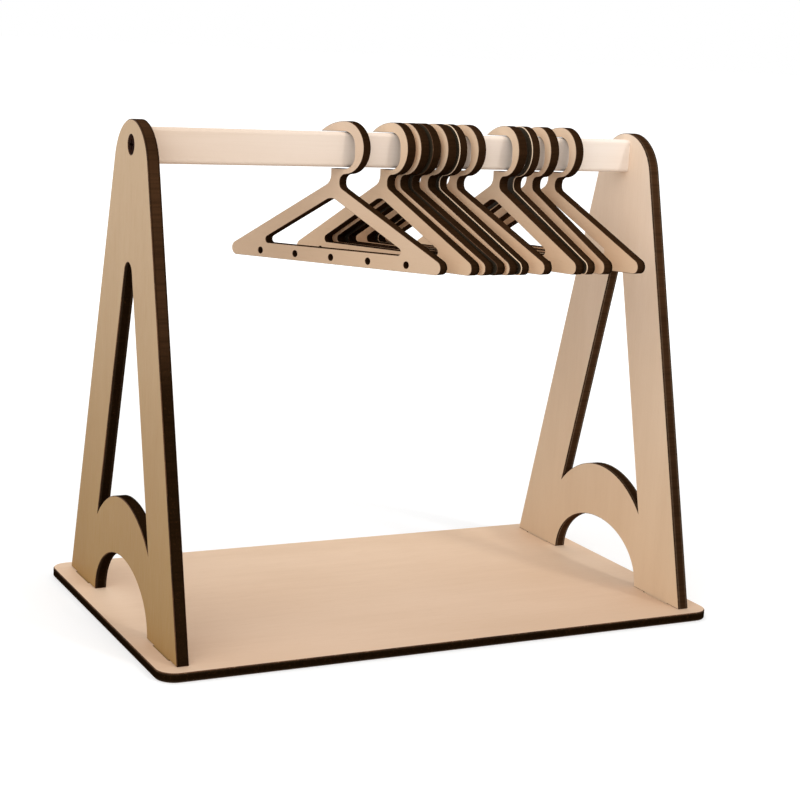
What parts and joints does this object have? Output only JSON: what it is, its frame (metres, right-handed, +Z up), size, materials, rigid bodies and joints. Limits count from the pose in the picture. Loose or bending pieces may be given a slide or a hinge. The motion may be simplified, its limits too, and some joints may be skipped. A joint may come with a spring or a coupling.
{
  "type": "earring display stand",
  "caption": "Small plywood display stand shaped like a clothes rail: A-shaped side frames on a base, a flat bar, and sliding hangers with holes for ear wires.",
  "frame": {"origin": "centre of the base's underside", "axes": "+X along the bar to the right, -Y to the front, +Z up"},
  "size_m": [0.2, 0.118, 0.1638],
  "materials": {
    "base_plywood": "bare plywood, edges browned by the laser",
    "frame_plywood": "bare plywood, edges browned by the laser",
    "hanger_plywood": "bare plywood, edges browned by the laser",
    "bar_wood": "bare pale wood, sanded",
    "black_screw": "black"
  },
  "bodies": {
    "stand": {"base_plate": "base_plywood", "left_side_frame": "frame_plywood", "right_side_frame": "frame_plywood", "hanging_bar": "bar_wood", "bar_screws": "black_screw"},
    "hanger_01": {"hanger_01": "hanger_plywood"},
    "hanger_02": {"hanger_02": "hanger_plywood"},
    "hanger_03": {"hanger_03": "hanger_plywood"},
    "hanger_04": {"hanger_04": "hanger_plywood"},
    "hanger_05": {"hanger_05": "hanger_plywood"},
    "hanger_06": {"hanger_06": "hanger_plywood"},
    "hanger_07": {"hanger_07": "hanger_plywood"},
    "hanger_08": {"hanger_08": "hanger_plywood"},
    "hanger_09": {"hanger_09": "hanger_plywood"},
    "hanger_10": {"hanger_10": "hanger_plywood"},
    "hanger_11": {"hanger_11": "hanger_plywood"}
  },
  "joints": [
    {"name": "hanger_01_slide", "type": "slide", "parent": "stand", "child": "hanger_01", "axis": [1, 0, 0], "range_m": [-0.049, 0]},
    {"name": "hanger_02_slide", "type": "slide", "parent": "stand", "child": "hanger_02", "axis": [1, 0, 0], "range_m": [-0.0061, 0]},
    {"name": "hanger_03_slide", "type": "slide", "parent": "stand", "child": "hanger_03", "axis": [1, 0, 0], "range_m": [-0.0011, 0]},
    {"name": "hanger_04_slide", "type": "slide", "parent": "stand", "child": "hanger_04", "axis": [1, 0, 0], "range_m": [-0.0006, 0]},
    {"name": "hanger_05_slide", "type": "slide", "parent": "stand", "child": "hanger_05", "axis": [1, 0, 0], "range_m": [-0.0007, 0]},
    {"name": "hanger_06_slide", "type": "slide", "parent": "stand", "child": "hanger_06", "axis": [1, 0, 0], "range_m": [-0.0006, 0]},
    {"name": "hanger_07_slide", "type": "slide", "parent": "stand", "child": "hanger_07", "axis": [1, 0, 0], "range_m": [-0.0006, 0]},
    {"name": "hanger_08_slide", "type": "slide", "parent": "stand", "child": "hanger_08", "axis": [1, 0, 0], "range_m": [-0.0079, 0]},
    {"name": "hanger_09_slide", "type": "slide", "parent": "stand", "child": "hanger_09", "axis": [1, 0, 0], "range_m": [-0.0006, 0]},
    {"name": "hanger_10_slide", "type": "slide", "parent": "stand", "child": "hanger_10", "axis": [1, 0, 0], "range_m": [-0.0029, 0]},
    {"name": "hanger_11_slide", "type": "slide", "parent": "stand", "child": "hanger_11", "axis": [1, 0, 0], "range_m": [-0.0006, 0.0182]}
  ]
}
